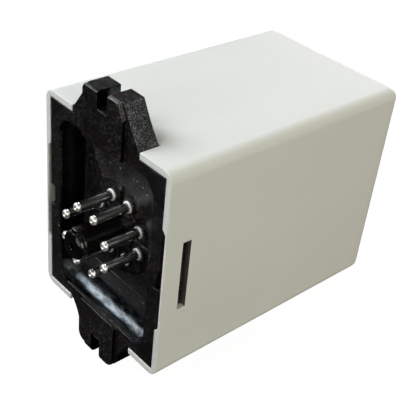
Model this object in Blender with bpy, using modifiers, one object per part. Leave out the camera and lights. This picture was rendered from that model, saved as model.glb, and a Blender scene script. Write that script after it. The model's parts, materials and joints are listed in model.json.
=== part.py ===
"""Plug-in relay: a moulded cover on an octal plug base, with its pins, boards, relay and adjuster.

Frame: the origin is the centre of the whole relay's box. +Y runs into the case, so the pins point
along -Y. +Z is up and +X is to the right, seen from the pins.
All sizes below are millimetres. Places are measured from the centre of the pin circle, on the plane
of the cover's open rim; the helpers turn them into metres from the origin.
"""
import math

import bmesh
import bpy
from mathutils import Matrix, Vector

MM = 0.001
GAP = 0.3                       # between neighbours that rest on each other

# Cover
COVER_WIDTH = 48.6
COVER_HEIGHT = 60.2
COVER_DEPTH = 79.8
SIDE_WALL = 1.75
TOP_WALL = 1.75
FRONT_WALL = 2.0
EDGE_RADIUS = 2.9
EAR_NOTCH_HALF = 13.1
EAR_NOTCH_DEPTH = 6.0
RELIEF_HALF = 15.0
RELIEF_CUT = 1.1
RELIEF_DEPTH = 3.0
WINDOW_Y = (5.2, 7.7)
WINDOW_HALF = 10.1
INNER_X = COVER_WIDTH / 2 - SIDE_WALL
INNER_Z = COVER_HEIGHT / 2 - TOP_WALL
FRONT_INSIDE = COVER_DEPTH - FRONT_WALL

# Octal plug
PIN_COUNT = 8
PIN_CIRCLE_RADIUS = 8.725
PIN_RADIUS = 1.18
PIN_TIP = -5.6
COLLAR_RADIUS = 1.65
COLLAR_LENGTH = 0.5
STEM_RADIUS = 0.95
PIN_TAIL = 9.5
PIN_HOLE_RADIUS = 1.25
SPIGOT_RADIUS = 3.8
SPIGOT_END = -8.8
SPIGOT_BORE = (0.9, 3.0)        # radius, depth
KEY_HALF_WIDTH = 1.0
KEY_RISE = 1.0

# Plug base
BASE_HALF_X = INNER_X - GAP
BASE_HALF_Z = INNER_Z - GAP
RIM = 0.1
FLOOR = 5.48
BASE_BACK = 7.8
POCKET_HALF_X = 18.5
POCKET_TOP = 24.9
POCKET_BOTTOM = -25.0
POCKET_RADIUS = 4.6
PLATE_FACE = -0.95
EAR_BACK = EAR_NOTCH_DEPTH - GAP
EAR_ROOT_HALF = EAR_NOTCH_HALF - GAP
EAR_SLOT_HALF = 1.9
PLATE_HALF = 7.6
EAR_CORNER = 2.5
TOP_EAR_TIP = 39.3
TOP_SLOT_FLOOR = 34.2
BOTTOM_EAR_TIP = -39.1
BOTTOM_SLOT_FLOOR = -34.0
BARB_REACH = 23.0
LATCH_HALF = WINDOW_HALF - GAP - 0.2
PRY_NOTCH_HALF = 2.9
PRY_NOTCH_X = 20.7
PRY_NOTCH_DEPTH = 2.2

# Boards
BOARD = 1.6
BOARD_OUTER_X = 19.0
BOARD_FACE_X = BOARD_OUTER_X - BOARD
BOARD_HALF_Z = 24.0
BOARD_Y = (12.5, 64.0)
FRONT_BOARD_Y = BOARD_Y[1] + GAP
FRONT_BOARD_HALF_X = 20.0
FRONT_BOARD_FRONT = FRONT_BOARD_Y + BOARD
RAIL_Z = (22.6, 25.4)
RAIL_THICK = 1.2
RAIL_END = 16.0
WIRE_RADIUS = 0.6

# Relay, in its own frame: u away from the board (+X), v along the case (+Y), w upwards (+Z)
RELAY_AT = (-BOARD_FACE_X + GAP, 30.0, 14.0)
RELAY_HALF_V = 14.0
RELAY_HALF_W = 6.2
RELAY_HEIGHT = 26.0
RELAY_FLOOR = 2.5
COIL_V = -4.5
YOKE_THICK = 1.1
YOKE_BOTTOM = 2.8
YOKE_TOP = 19.9
YOKE_OUTER_V = -13.0
HINGE_V = -12.4
HINGE_U = YOKE_TOP + GAP
ARMATURE_THICK = 1.1
ARMATURE_TIP_V = 3.6
ARMATURE_TRAVEL = math.radians(4.0)
CARD_V = (2.2, 3.8)
CARD_TOP = 20.9
BLADE_W = 3.2
BLADE_HALF_WIDTH = 1.8
BLADE_U = 11.2
BLADE_THICK = 0.3
BLADE_PIVOT_V = 12.4
CONTACT_V = 6.4
CONTACT_RADIUS = 1.2
CONTACT_RISE = 0.6

# Transformer
CORE_X = (-13.6, 7.4)
CORE_Y = (25.0, 37.0)
CORE_Z = (-23.5, 2.5)
CORE_LEG = 3.5
CENTRE_LEG_Z = (-14.5, -6.5)
BOBBIN_X = (-9.8, 3.6)
BOBBIN_Y = (20.5, 41.5)
BOBBIN_WALL = 0.8
FLANGE_THICK = 1.0

# Front face
KNOB_Z = 5.0
SHAFT_RADIUS = 3.0
SHAFT_HOLE_RADIUS = 3.7
SHAFT_END = 90.0
KNOB_Y = (80.4, 92.0)
KNOB_RADIUS = 9.0
LIGHT_X = 9.0
LIGHT_Z = -18.0
LIGHT_RADIUS = 1.5
LABEL_HALF = (19.0, 25.0)
LABEL_RECESS = 0.7
LABEL_THICK = 0.35

# The middle of the whole relay, between the spigot's end and the knob's face and between the ear tips
MIDDLE = Vector((0, (SPIGOT_END + KNOB_Y[1]) / 2, (TOP_EAR_TIP + BOTTOM_EAR_TIP) / 2))

# Base colour, metallic value and roughness of each finish
FINISHES = {
    "pale_plastic": ((0.68, 0.69, 0.65), 0.0, 0.42),
    "black_plastic": ((0.012, 0.011, 0.012), 0.0, 0.35),
    "plated_brass": ((0.78, 0.78, 0.76), 1.0, 0.18),
    "green_board": ((0.02, 0.16, 0.06), 0.0, 0.35),
    "clear_plastic": ((0.75, 0.80, 0.82), 0.0, 0.08),
    "dark_resin": ((0.02, 0.02, 0.022), 0.0, 0.45),
    "copper_wire": ((0.65, 0.25, 0.10), 1.0, 0.30),
    "iron": ((0.45, 0.45, 0.44), 1.0, 0.35),
    "spring_bronze": ((0.70, 0.45, 0.22), 1.0, 0.30),
    "tinned_strip": ((0.72, 0.70, 0.64), 1.0, 0.30),
    "cream_plastic": ((0.75, 0.70, 0.55), 0.0, 0.45),
    "red_sleeve": ((0.45, 0.03, 0.02), 0.0, 0.50),
    "blue_sleeve": ((0.03, 0.10, 0.40), 0.0, 0.45),
    "tan_resin": ((0.60, 0.42, 0.22), 0.0, 0.50),
    "green_lens": ((0.10, 0.60, 0.15), 0.0, 0.10),
    "amber_lens": ((0.80, 0.35, 0.03), 0.0, 0.10),
    "label_film": ((0.55, 0.56, 0.55), 0.0, 0.50),
}

PLANES = {
    "XY": Matrix.Identity(4),
    "XZ": Matrix(((1, 0, 0, 0), (0, 0, -1, 0), (0, 1, 0, 0), (0, 0, 0, 1))),
    "YZ": Matrix(((0, 0, 1, 0), (1, 0, 0, 0), (0, 1, 0, 0), (0, 0, 0, 1))),
}
NORMALS = {"XY": Vector((0, 0, 1)), "XZ": Vector((0, 1, 0)), "YZ": Vector((1, 0, 0))}


def clear_scene():
    for obj in list(bpy.data.objects):
        bpy.data.objects.remove(obj, do_unlink=True)


def new_collection(name):
    made = bpy.data.collections.new(name)
    bpy.context.scene.collection.children.link(made)
    return made


clear_scene()
PIECES = new_collection("plug_in_relay")
CUTTERS = new_collection("cutters")


# ---------------------------------------------------------------- helpers

def metres(size):
    return Vector(size) * MM


def spot(point):
    """A place measured from the pin circle's centre, in metres from the origin."""
    return (Vector(point) - MIDDLE) * MM


def paint(obj, finish):
    """Gives the object its own Principled material."""
    colour, metallic, roughness = FINISHES[finish]
    material = bpy.data.materials.new(obj.name)
    material.use_nodes = True
    shader = material.node_tree.nodes["Principled BSDF"]
    shader.inputs["Base Color"].default_value = (*colour, 1.0)
    shader.inputs["Metallic"].default_value = metallic
    shader.inputs["Roughness"].default_value = roughness
    obj.data.materials.append(material)


def place(name, data, finish):
    """A piece with a finish, or a tool shape without one, which is left out of the model."""
    obj = bpy.data.objects.new(name, data)
    if finish is None:
        CUTTERS.objects.link(obj)
        obj.hide_render = True
        obj.display_type = "WIRE"
    else:
        PIECES.objects.link(obj)
        paint(obj, finish)
    return obj


def smooth(mesh):
    mesh.shade_smooth()
    mesh.set_sharp_from_angle(angle=math.radians(35))


def block(name, x, y, z, finish=None, radius=0.0, segments=3):
    """A box between the low and high values given for each axis, with rounded edges if asked."""
    ranges = (x, y, z)
    size = [high - low for low, high in ranges]
    centre = [(low + high) / 2 for low, high in ranges]
    shape = bmesh.new()
    bmesh.ops.create_cube(shape, size=1.0)
    bmesh.ops.scale(shape, vec=metres(size), verts=shape.verts)
    mesh = bpy.data.meshes.new(name)
    shape.to_mesh(mesh)
    shape.free()
    obj = place(name, mesh, finish)
    obj.location = spot(centre)
    if radius:
        bevel = obj.modifiers.new("rounded_edges", "BEVEL")
        bevel.width = radius * MM
        bevel.segments = segments
    return obj


def rod(name, start, end, radius, finish=None, sides=16):
    """A plain cylinder from start to end."""
    start, end = spot(start), spot(end)
    shape = bmesh.new()
    bmesh.ops.create_cone(shape, cap_ends=True, segments=sides, radius1=radius * MM,
                          radius2=radius * MM, depth=(end - start).length)
    mesh = bpy.data.meshes.new(name)
    shape.to_mesh(mesh)
    shape.free()
    smooth(mesh)
    obj = place(name, mesh, finish)
    obj.location = (start + end) / 2
    obj.rotation_mode = "QUATERNION"
    obj.rotation_quaternion = Vector((0, 0, 1)).rotation_difference(end - start)
    return obj


def turned(name, profile, at, axis, finish=None, sides=16, ring=False):
    """A profile of (radius, height) points turned about the axis. It runs from the highest point
    down the outside; a ring's profile closes on itself and doesn't reach the axis."""
    shape = bmesh.new()
    points = [shape.verts.new((radius * MM, 0, height * MM)) for radius, height in profile]
    links = list(zip(points, points[1:]))
    if ring:
        links.append((points[-1], points[0]))
    for pair in links:
        shape.edges.new(pair)
    mesh = bpy.data.meshes.new(name)
    shape.to_mesh(mesh)
    shape.free()
    obj = place(name, mesh, finish)
    obj.location = spot(at)
    obj.rotation_mode = "QUATERNION"
    obj.rotation_quaternion = Vector((0, 0, 1)).rotation_difference(Vector(axis))
    screw = obj.modifiers.new("turn", "SCREW")
    screw.steps = sides
    screw.render_steps = sides
    screw.use_merge_vertices = True
    screw.merge_threshold = 0.000001
    return obj


def plate(name, outline, plane, low, high, finish=None):
    """A flat outline in the named plane, filled and thickened between low and high."""
    curve = bpy.data.curves.new(name, "CURVE")
    curve.dimensions = "2D"
    curve.fill_mode = "BOTH"
    curve.extrude = (high - low) / 2 * MM
    spline = curve.splines.new("POLY")
    spline.points.add(len(outline) - 1)
    spline.use_cyclic_u = True
    for point, (across, along) in zip(spline.points, outline):
        point.co = (across * MM, along * MM, 0, 1)
    drawn = bpy.data.objects.new(name + "_drawn", curve)
    CUTTERS.objects.link(drawn)
    middle = spot(NORMALS[plane] * (low + high) / 2)
    drawn.matrix_world = Matrix.Translation(middle) @ PLANES[plane]
    bpy.context.view_layer.update()
    evaluated = drawn.evaluated_get(bpy.context.evaluated_depsgraph_get())
    mesh = bpy.data.meshes.new_from_object(evaluated)
    shape = bmesh.new()
    shape.from_mesh(mesh)
    bmesh.ops.remove_doubles(shape, verts=shape.verts, dist=0.000001)
    bmesh.ops.recalc_face_normals(shape, faces=shape.faces)
    shape.to_mesh(mesh)
    shape.free()
    obj = place(name, mesh, finish)
    obj.matrix_world = drawn.matrix_world
    bpy.data.objects.remove(drawn, do_unlink=True)
    return obj


def wire(name, points, radius, finish):
    """A round wire through the points."""
    curve = bpy.data.curves.new(name, "CURVE")
    curve.dimensions = "3D"
    curve.bevel_depth = radius * MM
    curve.bevel_resolution = 2
    curve.use_fill_caps = True
    spline = curve.splines.new("POLY")
    spline.points.add(len(points) - 1)
    for point, position in zip(spline.points, points):
        point.co = (*spot(position), 1)
    return place(name, curve, finish)


def combine(body, operation, tools):
    for tool in tools:
        modifier = body.modifiers.new(operation.lower() + "_" + tool.name, "BOOLEAN")
        modifier.operation = operation
        modifier.object = tool
        modifier.solver = "EXACT"


def cut(body, *tools):
    combine(body, "DIFFERENCE", tools)


def join(body, *tools):
    combine(body, "UNION", tools)


def pivot(name, at, *pieces):
    """An empty on a joint's axis that carries the pieces of one moving body."""
    hinge = bpy.data.objects.new(name, None)
    PIECES.objects.link(hinge)
    hinge.location = spot(at)
    for piece in pieces:
        piece.parent = hinge
        piece.matrix_parent_inverse = Matrix.Translation(spot(at)).inverted()
    return hinge


def arc(centre, radius, start, end, count):
    """Points on a circle between two angles in degrees."""
    angles = [math.radians(start + (end - start) * step / count) for step in range(count + 1)]
    return [(centre[0] + radius * math.cos(a), centre[1] + radius * math.sin(a)) for a in angles]


def mirrored(half):
    """An outline from its right half, listed from bottom to top."""
    return half + [(-across, along) for across, along in reversed(half)]


def bezier(start, lead, approach, end, count):
    """Points on a cubic curve."""
    points = []
    for step in range(count + 1):
        t = step / count
        weights = ((1 - t) ** 3, 3 * t * (1 - t) ** 2, 3 * t * t * (1 - t), t ** 3)
        points.append(tuple(sum(w * p[i] for w, p in zip(weights, (start, lead, approach, end)))
                            for i in range(3)))
    return points


# ---------------------------------------------------------------- cover

def make_cover():
    cover = block("case_cover", (-COVER_WIDTH / 2, COVER_WIDTH / 2), (0, COVER_DEPTH),
                  (-COVER_HEIGHT / 2, COVER_HEIGHT / 2), "pale_plastic")
    round_outer_edges(cover)
    cut(cover,
        block("cover_cavity", (-INNER_X, INNER_X), (-2, FRONT_INSIDE), (-INNER_Z, INNER_Z)),
        block("cover_ear_notches", (-EAR_NOTCH_HALF, EAR_NOTCH_HALF), (-2, EAR_NOTCH_DEPTH),
              (-COVER_HEIGHT, COVER_HEIGHT)),
        block("cover_rim_relief", (-INNER_X - RELIEF_CUT, INNER_X + RELIEF_CUT),
              (-2, RELIEF_DEPTH), (-RELIEF_HALF, RELIEF_HALF)),
        block("cover_latch_windows", (-COVER_WIDTH, COVER_WIDTH), WINDOW_Y,
              (-WINDOW_HALF, WINDOW_HALF)),
        rod("cover_shaft_hole", (0, FRONT_INSIDE - 1, KNOB_Z), (0, COVER_DEPTH + 1, KNOB_Z),
            SHAFT_HOLE_RADIUS),
        block("cover_label_recess", (-LABEL_HALF[0] - GAP, LABEL_HALF[0] + GAP),
              (COVER_DEPTH - LABEL_RECESS, COVER_DEPTH + 1),
              (-LABEL_HALF[1] - GAP, LABEL_HALF[1] + GAP)))
    for side in (-1, 1):
        cut(cover, rod(f"cover_light_hole_{side}", (side * LIGHT_X, FRONT_INSIDE - 1, LIGHT_Z),
                       (side * LIGHT_X, COVER_DEPTH + 1, LIGHT_Z), LIGHT_RADIUS + GAP, sides=12))


def round_outer_edges(cover):
    """Rounds the four long edges and the four edges of the far face, not the open rim."""
    shape = bmesh.new()
    shape.from_mesh(cover.data)
    weight = shape.edges.layers.float.new("bevel_weight_edge")
    for edge in shape.edges:
        on_rim = all(vert.co.y < 0 for vert in edge.verts)
        edge[weight] = 0.0 if on_rim else 1.0
    shape.to_mesh(cover.data)
    shape.free()
    bevel = cover.modifiers.new("rounded_edges", "BEVEL")
    bevel.width = EDGE_RADIUS * MM
    bevel.segments = 3
    bevel.limit_method = "WEIGHT"


# ---------------------------------------------------------------- plug base

def ear_outlines():
    """The top and bottom ears' outlines in X and Z: the wide root block and the raised plate."""
    top_root = [(EAR_ROOT_HALF, 20.0), (EAR_ROOT_HALF, 29.7), (9.4, 34.5), (6.6, TOP_EAR_TIP)]
    top_plate = [(PLATE_HALF, 20.0), (PLATE_HALF, 36.7), (5.6, TOP_EAR_TIP)]
    corner_z = BOTTOM_EAR_TIP + EAR_CORNER
    bottom_root = [(EAR_ROOT_HALF, -20.0), (EAR_ROOT_HALF, -28.0), (10.4, -31.0), (9.1, -33.8)]
    bottom_root += arc((PLATE_HALF + 0.7 - EAR_CORNER, corner_z), EAR_CORNER, 0, -90, 4)
    bottom_plate = [(PLATE_HALF, -20.0)]
    bottom_plate += arc((PLATE_HALF - EAR_CORNER, corner_z), EAR_CORNER, 0, -90, 4)
    return top_root, top_plate, bottom_root, bottom_plate


def make_base():
    base = block("plug_base", (-BASE_HALF_X, BASE_HALF_X), (RIM, BASE_BACK),
                 (-BASE_HALF_Z, BASE_HALF_Z), "black_plastic")
    top_root, top_plate, bottom_root, bottom_plate = ear_outlines()
    join(base,
         plate("ear_top_root", mirrored(top_root), "XZ", RIM, EAR_BACK),
         plate("ear_top_plate", mirrored(top_plate), "XZ", PLATE_FACE, RIM + 1),
         plate("ear_bottom_root", mirrored(bottom_root), "XZ", RIM, EAR_BACK),
         plate("ear_bottom_plate", mirrored(bottom_plate), "XZ", PLATE_FACE, RIM + 1),
         block("base_latches", (-BARB_REACH, BARB_REACH), (WINDOW_Y[0] + GAP, WINDOW_Y[1] - GAP),
               (-LATCH_HALF, LATCH_HALF)))
    cut(base,
        block("base_pocket", (-POCKET_HALF_X, POCKET_HALF_X), (-9, FLOOR),
              (POCKET_BOTTOM, POCKET_TOP), radius=POCKET_RADIUS, segments=4),
        block("ear_top_slot", (-EAR_SLOT_HALF, EAR_SLOT_HALF), (-3, 9), (TOP_SLOT_FLOOR, 45)),
        block("ear_bottom_slot", (-EAR_SLOT_HALF, EAR_SLOT_HALF), (-3, 9), (-45, BOTTOM_SLOT_FLOOR)))
    for side in (-1, 1):
        near, far = sorted((side * PRY_NOTCH_X, side * (BASE_HALF_X + 1)))
        cut(base, block(f"base_pry_notch_{side}", (near, far), (-2, RIM + PRY_NOTCH_DEPTH),
                        (-PRY_NOTCH_HALF, PRY_NOTCH_HALF)))
    join(base,
         turned("spigot_turned", [(0, 15.5), (SPIGOT_RADIUS, 15.5), (SPIGOT_RADIUS, 0.9),
                                  (SPIGOT_RADIUS - 0.7, 0), (0, 0)],
                (0, SPIGOT_END, 0), (0, 1, 0), sides=20),
         block("spigot_key", (-KEY_HALF_WIDTH, KEY_HALF_WIDTH), (SPIGOT_END + 0.6, FLOOR + 1),
               (0, SPIGOT_RADIUS + KEY_RISE)))
    cut(base, rod("spigot_bore", (0, SPIGOT_END - 1, 0), (0, SPIGOT_END + SPIGOT_BORE[1], 0),
                  SPIGOT_BORE[0], sides=12))
    for index, (x, z) in enumerate(pin_places(), 1):
        cut(base, rod(f"pin_hole_{index}", (x, FLOOR - 1, z), (x, BASE_BACK + 1, z),
                      PIN_HOLE_RADIUS, sides=12))
    add_board_rails(base)


def add_board_rails(base):
    """Pairs of lugs behind the base that hold the two upright boards by their lower corners."""
    for side in (-1, 1):
        for end in (-1, 1):
            z = sorted((end * RAIL_Z[0], end * RAIL_Z[1]))
            inner = sorted((side * (BOARD_FACE_X - GAP - RAIL_THICK), side * (BOARD_FACE_X - GAP)))
            outer = sorted((side * (BOARD_OUTER_X + GAP), side * (BOARD_OUTER_X + GAP + RAIL_THICK)))
            join(base,
                 block(f"rail_inner_{side}_{end}", inner, (BASE_BACK - 1, RAIL_END), z),
                 block(f"rail_outer_{side}_{end}", outer, (BASE_BACK - 1, RAIL_END), z))


# ---------------------------------------------------------------- pins and wires

def pin_places():
    """Pin centres, numbered anticlockwise from the key as seen from the wiring side."""
    step = 360 / PIN_COUNT
    angles = [math.radians(90 - step / 2 - step * index) for index in range(PIN_COUNT)]
    return [(PIN_CIRCLE_RADIUS * math.cos(a), PIN_CIRCLE_RADIUS * math.sin(a)) for a in angles]


def make_pins():
    collar_front = FLOOR - GAP - COLLAR_LENGTH
    length = PIN_TAIL - PIN_TIP
    dome = arc((0, length - PIN_RADIUS), PIN_RADIUS, 90, 0, 3)
    dome[0] = (0, length)
    profile = dome + [
        (PIN_RADIUS, PIN_TAIL - collar_front),
        (COLLAR_RADIUS, PIN_TAIL - collar_front),
        (COLLAR_RADIUS, PIN_TAIL - collar_front - COLLAR_LENGTH),
        (STEM_RADIUS, PIN_TAIL - collar_front - COLLAR_LENGTH),
        (STEM_RADIUS, PIN_TAIL - BASE_BACK - GAP),
        (COLLAR_RADIUS - 0.2, PIN_TAIL - BASE_BACK - GAP),
        (COLLAR_RADIUS - 0.2, PIN_TAIL - BASE_BACK - GAP - COLLAR_LENGTH),
        (STEM_RADIUS, PIN_TAIL - BASE_BACK - GAP - COLLAR_LENGTH),
        (STEM_RADIUS, 0),
        (0, 0),
    ]
    for index, (x, z) in enumerate(pin_places(), 1):
        turned(f"pin_{index}", profile, (x, PIN_TAIL, z), (0, -1, 0), "plated_brass", sides=12)


def make_wires():
    """Each wire leaves its pin's tail and ends on the main board. The pads keep the pins' order,
    so that no two wires cross."""
    pad_x = -BOARD_FACE_X + GAP + WIRE_RADIUS
    start_y = PIN_TAIL + GAP
    for index, (x, z) in enumerate(pin_places(), 1):
        upper_row = abs(z) > abs(x)
        pad = (12.0 if upper_row else 0.0) + (9.0 if x > 0 else 3.0)
        pad_z = math.copysign(pad, z)
        bend = bezier((x, start_y + 0.8, z), (x, start_y + 3.2, z),
                      (pad_x, start_y + 0.4, pad_z), (pad_x, 14.6, pad_z), 8)
        wire(f"lead_wire_{index}", [(x, start_y, z)] + bend, WIRE_RADIUS,
             "red_sleeve" if index % 2 else "blue_sleeve")


# ---------------------------------------------------------------- boards and their parts

def make_boards():
    height = (-BOARD_HALF_Z, BOARD_HALF_Z)
    block("main_board", (-BOARD_OUTER_X, -BOARD_FACE_X), BOARD_Y, height, "green_board")
    block("power_board", (BOARD_FACE_X, BOARD_OUTER_X), BOARD_Y, height, "green_board")
    block("front_board", (-FRONT_BOARD_HALF_X, FRONT_BOARD_HALF_X),
          (FRONT_BOARD_Y, FRONT_BOARD_FRONT), height, "green_board")
    for name, side in (("board_header_left", -1), ("board_header_right", 1)):
        x = sorted((side * (BOARD_FACE_X - GAP), side * (BOARD_FACE_X - GAP - 2.6)))
        block(name, x, (FRONT_BOARD_Y - GAP - 2.6, FRONT_BOARD_Y - GAP), (-20, -4), "dark_resin")


def make_board_parts():
    left = -BOARD_FACE_X + GAP
    right = BOARD_FACE_X - GAP
    block("control_ic", (left + 0.5, left + 3.8), (47.5, 53.9), (-10, 9), "dark_resin",
          radius=0.3, segments=1)
    block("bridge_rectifier", (right - 3.4, right), (18, 24.4), (-18, -9.6), "dark_resin",
          radius=0.3, segments=1)
    turned("filter_capacitor",
           [(0, 16), (4.4, 16), (5, 15.4), (5, 3.2), (4.6, 2.7), (5, 2.2), (5, 0.5), (4.5, 0), (0, 0)],
           (right, 53, 12), (-1, 0, 0), "blue_sleeve", sides=16)
    turned("surge_varistor", [(0, 4), (3.6, 4), (5, 2.9), (5, 1.1), (3.6, 0), (0, 0)],
           (right - 5.2, 46, -4), (0, 1, 0), "tan_resin", sides=16)
    for index, z in enumerate((-20.0, -13.0), 1):
        turned(f"dropping_resistor_{index}",
               [(0, 11), (1.6, 11), (2.1, 10.2), (1.8, 8.6), (1.8, 2.4), (2.1, 0.8), (1.6, 0), (0, 0)],
               (right - 2.2, 32, z), (0, 1, 0), "tan_resin", sides=12)


def make_transformer():
    window_x = (CORE_X[0] + CORE_LEG, CORE_X[1] - CORE_LEG)
    window_z = (CORE_Z[0] + CORE_LEG, CORE_Z[1] - CORE_LEG)
    through_y = (CORE_Y[0] - 2, CORE_Y[1] + 2)
    core = block("transformer_core", CORE_X, CORE_Y, CORE_Z, "iron")
    cut(core,
        block("core_window_low", window_x, through_y, (window_z[0], CENTRE_LEG_Z[0])),
        block("core_window_high", window_x, through_y, (CENTRE_LEG_Z[1], window_z[1])))

    flange_z = (window_z[0] + GAP, window_z[1] - GAP)
    hole_y = (CORE_Y[0] - GAP, CORE_Y[1] + GAP)
    hole_z = (CENTRE_LEG_Z[0] - GAP, CENTRE_LEG_Z[1] + GAP)
    tube_y = (hole_y[0] - BOBBIN_WALL, hole_y[1] + BOBBIN_WALL)
    tube_z = (hole_z[0] - BOBBIN_WALL, hole_z[1] + BOBBIN_WALL)
    tube_x = (BOBBIN_X[0] + FLANGE_THICK / 2, BOBBIN_X[1] - FLANGE_THICK / 2)
    bobbin = block("transformer_bobbin", tube_x, tube_y, tube_z, "cream_plastic")
    foot_x = (-BOARD_FACE_X + GAP, BOBBIN_X[0] + FLANGE_THICK / 2)
    foot_z = (flange_z[0] + 1, flange_z[1] - 1)
    join(bobbin,
         block("bobbin_flange_low", (BOBBIN_X[0], BOBBIN_X[0] + FLANGE_THICK), BOBBIN_Y, flange_z),
         block("bobbin_flange_high", (BOBBIN_X[1] - FLANGE_THICK, BOBBIN_X[1]), BOBBIN_Y, flange_z),
         block("bobbin_foot_near", foot_x, (BOBBIN_Y[0] + 0.5, BOBBIN_Y[0] + 2.5), foot_z),
         block("bobbin_foot_far", foot_x, (BOBBIN_Y[1] - 2.5, BOBBIN_Y[1] - 0.5), foot_z))
    cut(bobbin, block("bobbin_hole", (BOBBIN_X[0] - 2, BOBBIN_X[1] + 2), hole_y, hole_z))

    winding = block("transformer_winding",
                    (BOBBIN_X[0] + FLANGE_THICK + GAP, BOBBIN_X[1] - FLANGE_THICK - GAP),
                    (BOBBIN_Y[0] + 0.8, BOBBIN_Y[1] - 0.8), (flange_z[0] + 0.8, flange_z[1] - 0.8),
                    "copper_wire")
    cut(winding, block("winding_hole", (BOBBIN_X[0] - 2, BOBBIN_X[1] + 2),
                       (tube_y[0] - GAP, tube_y[1] + GAP), (tube_z[0] - GAP, tube_z[1] + GAP)))


# ---------------------------------------------------------------- relay

def relay_point(u, v, w):
    return (RELAY_AT[0] + u, RELAY_AT[1] + v, RELAY_AT[2] + w)


def relay_block(name, u, v, w, finish=None):
    low = relay_point(u[0], v[0], w[0])
    high = relay_point(u[1], v[1], w[1])
    return block(name, *zip(low, high), finish)


def relay_plate(name, outline, w, finish=None):
    """An outline of (u, v) points, thickened across the relay between two values of w."""
    shifted = [(RELAY_AT[0] + u, RELAY_AT[1] + v) for u, v in outline]
    return plate(name, shifted, "XY", RELAY_AT[2] + w[0], RELAY_AT[2] + w[1], finish)


def relay_rod(name, u, v, w, radius, sides=12):
    return rod(name, relay_point(u[0], v, w), relay_point(u[1], v, w), radius, sides=sides)


def make_relay_housing():
    relay_block("relay_base", (0, RELAY_FLOOR), (-RELAY_HALF_V, RELAY_HALF_V),
                (-RELAY_HALF_W, RELAY_HALF_W), "dark_resin")
    wall = 0.6
    inner_v = RELAY_HALF_V + GAP
    inner_w = RELAY_HALF_W + GAP
    cover = relay_block("relay_cover", (0, RELAY_HEIGHT), (-inner_v - wall, inner_v + wall),
                        (-inner_w - wall, inner_w + wall), "clear_plastic")
    cut(cover, relay_block("relay_cover_inside", (-1, RELAY_HEIGHT - wall), (-inner_v, inner_v),
                           (-inner_w, inner_w)))


def make_electromagnet():
    bottom = YOKE_BOTTOM + YOKE_THICK + GAP
    height = 14.4
    hub, flange, hole, thick = 3.0, 5.4, 2.3, 0.9
    turned("coil_bobbin",
           [(flange, height), (flange, height - thick), (hub, height - thick), (hub, thick),
            (flange, thick), (flange, 0), (hole, 0), (hole, height)],
           relay_point(bottom, COIL_V, 0), (1, 0, 0), "cream_plastic", sides=20, ring=True)
    turned("coil_winding",
           [(flange - GAP, height - thick - GAP), (flange - GAP, thick + GAP),
            (hub + GAP, thick + GAP), (hub + GAP, height - thick - GAP)],
           relay_point(bottom, COIL_V, 0), (1, 0, 0), "copper_wire", sides=20, ring=True)
    head_bottom = bottom + height + GAP
    core_base = YOKE_BOTTOM + 0.1
    turned("coil_core",
           [(0, head_bottom + 0.8 - core_base), (3.6, head_bottom + 0.8 - core_base),
            (3.6, head_bottom - core_base), (2.0, head_bottom - core_base), (2.0, 0), (0, 0)],
           relay_point(core_base, COIL_V, 0), (1, 0, 0), "iron", sides=16)
    inner_u = YOKE_BOTTOM + YOKE_THICK
    inner_v = YOKE_OUTER_V + YOKE_THICK
    yoke = relay_plate("relay_yoke",
                       [(YOKE_BOTTOM, YOKE_OUTER_V), (YOKE_TOP, YOKE_OUTER_V), (YOKE_TOP, inner_v),
                        (inner_u, inner_v), (inner_u, COIL_V + 4), (YOKE_BOTTOM, COIL_V + 4)],
                       (-4.2, 4.2), "iron")
    cut(yoke, relay_rod("yoke_core_hole", (0, inner_u + 2), COIL_V, 0, hole, sides=16))


def make_armature():
    """The armature is drawn flat and then opened about the yoke's edge to its rest position."""
    armature = relay_block("armature", (HINGE_U, HINGE_U + ARMATURE_THICK),
                           (HINGE_V - 0.5, ARMATURE_TIP_V), (-4.2, 4.2), "iron")
    hinge = pivot("armature_hinge", relay_point(HINGE_U, HINGE_V, 0), armature)
    hinge.rotation_euler = (0, 0, -ARMATURE_TRAVEL)
    leaf = 0.35
    lip_u = HINGE_U + ARMATURE_THICK + 0.55
    relay_plate("hinge_spring",
                [(9.0, -13.8), (lip_u + leaf, -13.8), (lip_u + leaf, -10.4), (lip_u, -10.4),
                 (lip_u, -13.8 + leaf), (9.0, -13.8 + leaf)], (-2.5, 2.5), "spring_bronze")


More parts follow.
